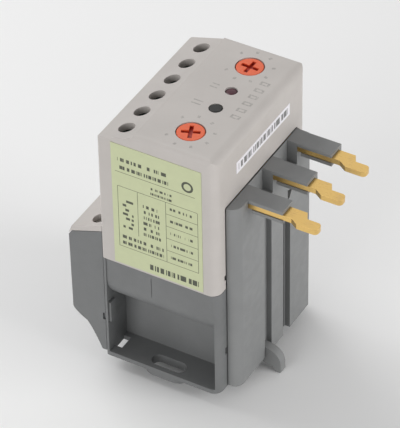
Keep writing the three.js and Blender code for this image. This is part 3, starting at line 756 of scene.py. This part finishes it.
class BrassSettings(bpy.types.PropertyGroup):
    colour: FloatVectorProperty(
        name="Colour",
        description="Clean brass",
        subtype="COLOR",
        default=(0.83, 0.56, 0.2),
        min=0,
        max=1,
    )
    tarnish: FloatVectorProperty(
        name="Tarnish",
        description="Dull brass",
        subtype="COLOR",
        default=(0.66, 0.44, 0.19),
        min=0,
        max=1,
    )
    roughness: FloatProperty(
        name="Roughness",
        description="Surface roughness",
        subtype="FACTOR",
        default=0.3,
        min=0,
        max=1,
    )
    edge: FloatProperty(
        name="Edge radius",
        description="Rounding of the blades' edges",
        unit="LENGTH",
        precision=5,
        default=0.3 * MM,
        min=0,
    )


class SteelSettings(bpy.types.PropertyGroup):
    colour: FloatVectorProperty(
        name="Colour",
        description="Zinc plating",
        subtype="COLOR",
        default=(0.62, 0.62, 0.6),
        min=0,
        max=1,
    )
    roughness: FloatProperty(
        name="Roughness",
        description="Surface roughness",
        subtype="FACTOR",
        default=0.3,
        min=0,
        max=1,
    )


class DialSettings(bpy.types.PropertyGroup):
    colour: FloatVectorProperty(
        name="Colour",
        description="Dial orange",
        subtype="COLOR",
        default=(0.78, 0.135, 0.05),
        min=0,
        max=1,
    )
    # painted shade: the dark red painted into the cross slot and round the rim
    slot_shade_colour: FloatVectorProperty(
        name="Slot",
        description="Red in the cross slot",
        subtype="COLOR",
        default=(0.42, 0.03, 0.014),
        min=0,
        max=1,
    )


class LampSettings(bpy.types.PropertyGroup):
    colour: FloatVectorProperty(
        name="Lens",
        description="Unlit lens colour",
        subtype="COLOR",
        default=(0.055, 0.004, 0.014),
        min=0,
        max=1,
    )
    button_colour: FloatVectorProperty(
        name="Button",
        description="Reset button colour",
        subtype="COLOR",
        default=(0.014, 0.014, 0.013),
        min=0,
        max=1,
    )
    button_travel: FloatProperty(
        name="Button travel",
        description="How far the button's spring gives",
        unit="LENGTH",
        precision=5,
        default=0.8 * MM,
        min=0,
    )


class StageSettings(bpy.types.PropertyGroup):
    floor_size: FloatProperty(
        name="Floor", description="Width of the floor", default=6.0, unit="LENGTH", min=0.5
    )
    key_power: FloatProperty(
        name="Key light",
        description="Power of the light above",
        unit="POWER",
        default=3.7,
        min=0,
    )
    back_power: FloatProperty(
        name="Back panel",
        description="Power of the dim panel behind",
        unit="POWER",
        default=0.75,
        min=0,
    )
    label_power: FloatProperty(
        name="Label light",
        description="Power of the light on the label side",
        unit="POWER",
        default=2.6,
        min=0,
    )
    pin_power: FloatProperty(
        name="Pin light",
        description="Power of the light on the pin side",
        unit="POWER",
        default=3.6,
        min=0,
    )
    sky: FloatProperty(
        name="Sky", description="Strength of the surrounding light", default=0.36, min=0
    )


# ---------- operators ----------


class RELAY_OT_cover(bpy.types.Operator):
    """Finish the light grey cover and the sloping load deck"""

    bl_idname = "relay.cover"
    bl_label = "Cover"

    def execute(self, context):
        shell = context.scene.relay_shell
        dials = [centre_mm(node)[:2] for node in ("current_dial", "delay_dial")]
        plastic = cover_plastic(
            shell, dials, centre_mm("status_lamp")[:2], centre_mm("reset_button")[:2]
        )
        finish("front_cover", HOUSING, plastic, shell.edge, 3)
        deck = moulded("deck_plastic", shell.colour, shell.roughness, 0.03)
        finish("terminal_deck", HOUSING, deck, shell.edge * 0.7)
        return {"FINISHED"}


class RELAY_OT_housing(bpy.types.Operator):
    """Finish the dark grey base, plug block and load terminal block"""

    bl_idname = "relay.housing"
    bl_label = "Housing"

    def execute(self, context):
        housing = context.scene.relay_housing
        for node in ("base_housing", "plug_block", "terminal_block"):
            colour = housing.plug_colour if node == "plug_block" else housing.colour
            plastic = moulded(node + "_plastic", colour, 0.5, 0.05)
            finish(node, HOUSING, plastic, housing.edge)
        return {"FINISHED"}


class RELAY_OT_print(bpy.types.Operator):
    """Finish the rating film and the paper strip"""

    bl_idname = "relay.print"
    bl_label = "Labels"

    def execute(self, context):
        prints = context.scene.relay_print
        finish("rating_label", HOUSING, rating_film(prints))
        finish("side_label", HOUSING, strip_paper(prints, *box_mm("side_label")))
        return {"FINISHED"}


class RELAY_OT_busbars(bpy.types.Operator):
    """Finish the brass bars whose ends are the plug pins"""

    bl_idname = "relay.busbars"
    bl_label = "Busbars"

    def execute(self, context):
        brass = context.scene.relay_brass
        strip = rolled_brass(brass, "rolled_brass")
        for pole in POLES:
            finish(f"busbar_{pole}", HOUSING, strip, brass.edge, 3)
        contact = rolled_brass(brass, "contact_brass")
        for control in CONTROLS:
            finish(f"control_contact_{control}", HOUSING, contact, EDGE["contact"])
        return {"FINISHED"}


class RELAY_OT_terminals(bpy.types.Operator):
    """Finish the screws, their clamps and the control terminal block"""

    bl_idname = "relay.terminals"
    bl_label = "Terminals"

    def execute(self, context):
        steel = context.scene.relay_steel
        screws = plated_steel(steel, "screw_plating")
        clamps = plated_steel(steel, "clamp_plating", (0.6, 4.0, 4.0))
        for number in DECK_SCREWS:
            finish(f"deck_screw_{number}", HOUSING, screws, EDGE["screw"])
        for kind, numbers in (("load", POLES), ("control", CONTROLS)):
            for number in numbers:
                screw = f"{kind}_screw_{number}"
                clamp = f"{kind}_clamp_{number}"
                finish(screw, screw, screws, EDGE["screw"])
                finish(clamp, clamp, clamps, EDGE["clamp"])
        green = moulded("terminal_moulding", (0.02, 0.075, 0.045), 0.5, 0.08)
        finish("control_terminal_block", HOUSING, green, EDGE["moulding"])
        return {"FINISHED"}


class RELAY_OT_controls(bpy.types.Operator):
    """Finish the dials, the lamp and the reset button with its spring"""

    bl_idname = "relay.controls"
    bl_label = "Dials and button"

    def execute(self, context):
        scene = context.scene
        top_level = box_mm("current_dial")[1][2]
        orange = dial_plastic(scene.relay_dial, top_level)
        for node in ("current_dial", "delay_dial"):
            finish(node, node, orange, EDGE["dial"])
        finish("status_lamp", HOUSING, lamp_lens(scene.relay_lamp), EDGE["lens"])
        black = moulded("button_black", scene.relay_lamp.button_colour, 0.42, 0.08)
        finish("reset_button", "reset_button", black, EDGE["moulding"])
        wire = plated_steel(scene.relay_steel, "spring_wire")
        spring = finish("reset_spring", HOUSING, wire)
        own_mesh(spring)
        for node in ("current_trimmer", "delay_trimmer", "reset_switch"):
            grey = moulded(node + "_case", (0.05, 0.05, 0.055), 0.5, 0.08)
            finish(node, HOUSING, grey, EDGE["case"])
        return {"FINISHED"}


class RELAY_OT_electronics(bpy.types.Operator):
    """Finish the boards, the parts on them and the current transformers"""

    bl_idname = "relay.electronics"
    bl_label = "Electronics"

    def execute(self, context):
        for node, axis_u, axis_v in (("front_board", 0, 1), ("main_board", 1, 2)):
            board = circuit_board(node + "_mask", axis_u, axis_v)
            finish(node, HOUSING, board, EDGE["board"])
        cases = (
            # piece, colour, roughness
            ("board_header", (0.014, 0.014, 0.015), 0.5),
            ("output_relay", (0.6, 0.6, 0.61), 0.4),
            ("controller_chip", (0.012, 0.012, 0.013), 0.6),
        )
        for node, colour, rough in cases:
            finish(node, HOUSING, moulded(node + "_case", colour, rough, 0.05), EDGE["moulding"])
        sleeve = capacitor_sleeve(*box_mm("supply_capacitor"))
        finish("supply_capacitor", HOUSING, sleeve, EDGE["capacitor"])
        iron = laminated_iron()
        copper = wound_copper()
        for pole in OUTER_POLES:
            finish(f"transformer_core_{pole}", HOUSING, iron, EDGE["core"])
            finish(f"transformer_coil_{pole}", HOUSING, copper, EDGE["coil"], 3)
        return {"FINISHED"}


class RELAY_OT_stage(bpy.types.Operator):
    """Set the floor, the lights and the camera"""

    bl_idname = "relay.stage"
    bl_label = "Stage"

    def execute(self, context):
        scene = context.scene
        stage = scene.relay_stage
        scene.view_settings.view_transform = "Standard"
        self.floor(scene, stage)
        self.lights(scene, stage)
        self.camera(scene)
        return {"FINISHED"}

    def floor(self, scene, stage):
        level = cad_box[0][2]
        half = stage.floor_size / 2
        mesh = bpy.data.meshes.new("floor")
        signs = ((-1, -1), (1, -1), (1, 1), (-1, 1))
        corners = [(side_x * half, side_y * half, level) for side_x, side_y in signs]
        mesh.from_pydata(corners, [], [(0, 1, 2, 3)])
        floor = bpy.data.objects.new("floor", mesh)
        scene.collection.objects.link(floor)
        recipe = Recipe("floor_paper")
        cloud = recipe.noise(0.004, 2.0)
        recipe.paint(recipe.mix(cloud, (0.86, 0.86, 0.86, 1), (0.9, 0.9, 0.9, 1)), 0.8)
        mesh.materials.append(recipe.material)

    def lights(self, scene, stage):
        world = bpy.data.worlds.new("studio")
        world.use_nodes = True
        background = world.node_tree.nodes["Background"]
        background.inputs["Color"].default_value = (1.0, 1.0, 1.0, 1.0)
        background.inputs["Strength"].default_value = stage.sky
        scene.world = world
        aim = Vector((0, 0, 40 * MM))
        panels = (
            # name, place, width, power
            ("key_light", (-0.62, 0.15, 0.62), 0.6, stage.key_power),
            ("back_panel", (-0.42, 0.66, 0.62), 0.7, stage.back_power),
            ("label_light", (-0.15, -0.8, 0.25), 0.5, stage.label_power),
            ("pin_light", (0.8, 0.1, 0.3), 0.5, stage.pin_power),
        )
        for name, place, width, power in panels:
            data = bpy.data.lights.new(name, "AREA")
            data.size = width
            data.energy = power
            lamp = bpy.data.objects.new(name, data)
            lamp.location = place
            towards = aim - Vector(place)
            lamp.rotation_euler = towards.to_track_quat("-Z", "Y").to_euler()
            scene.collection.objects.link(lamp)

    def camera(self, scene):
        data = bpy.data.cameras.new("camera")
        data.sensor_width = 36.0
        data.lens = CAMERA_LENS
        data.clip_end = 20.0
        camera = bpy.data.objects.new("camera", data)
        camera.location = CAMERA_PLACE
        camera.rotation_euler = CAMERA_TURN
        scene.collection.objects.link(camera)
        scene.camera = camera


class RELAY_PT_panel(bpy.types.Panel):
    """Buttons and settings for the relay's pieces"""

    bl_idname = "RELAY_PT_panel"
    bl_label = "Overload Relay"
    bl_space_type = "VIEW_3D"
    bl_region_type = "UI"
    bl_category = "Overload Relay"

    def draw(self, context):
        layout = self.layout
        for operator, group_names in PARTS_LIST:
            box = layout.box()
            box.operator(operator.bl_idname)
            for group_name in group_names:
                group = getattr(context.scene, group_name)
                for key in group.__annotations__:
                    box.prop(group, key)


SETTINGS = (
    ("relay_shell", ShellSettings),
    ("relay_housing", HousingSettings),
    ("relay_print", PrintSettings),
    ("relay_brass", BrassSettings),
    ("relay_steel", SteelSettings),
    ("relay_dial", DialSettings),
    ("relay_lamp", LampSettings),
    ("relay_stage", StageSettings),
)

# each operator, in building order, with the settings shown beside it
PARTS_LIST = (
    (RELAY_OT_stage, ("relay_stage",)),
    (RELAY_OT_cover, ("relay_shell",)),
    (RELAY_OT_housing, ("relay_housing",)),
    (RELAY_OT_print, ("relay_print",)),
    (RELAY_OT_busbars, ("relay_brass",)),
    (RELAY_OT_terminals, ("relay_steel",)),
    (RELAY_OT_controls, ("relay_dial", "relay_lamp")),
    (RELAY_OT_electronics, ()),
)


def register():
    for name, group in SETTINGS:
        bpy.utils.register_class(group)
        setattr(bpy.types.Scene, name, PointerProperty(type=group))
    for operator, _ in PARTS_LIST:
        bpy.utils.register_class(operator)
    bpy.utils.register_class(RELAY_PT_panel)


def unregister():
    bpy.utils.unregister_class(RELAY_PT_panel)
    for operator, _ in reversed(PARTS_LIST):
        bpy.utils.unregister_class(operator)
    for name, group in reversed(SETTINGS):
        delattr(bpy.types.Scene, name)
        bpy.utils.unregister_class(group)


def main():
    register()
    bpy.ops.relay.stage()
    bpy.ops.relay.cover()
    bpy.ops.relay.housing()
    bpy.ops.relay.print()
    bpy.ops.relay.busbars()
    bpy.ops.relay.terminals()
    bpy.ops.relay.controls()
    bpy.ops.relay.electronics()
    bpy.context.view_layer.update()


if __name__ == "__main__":
    main()
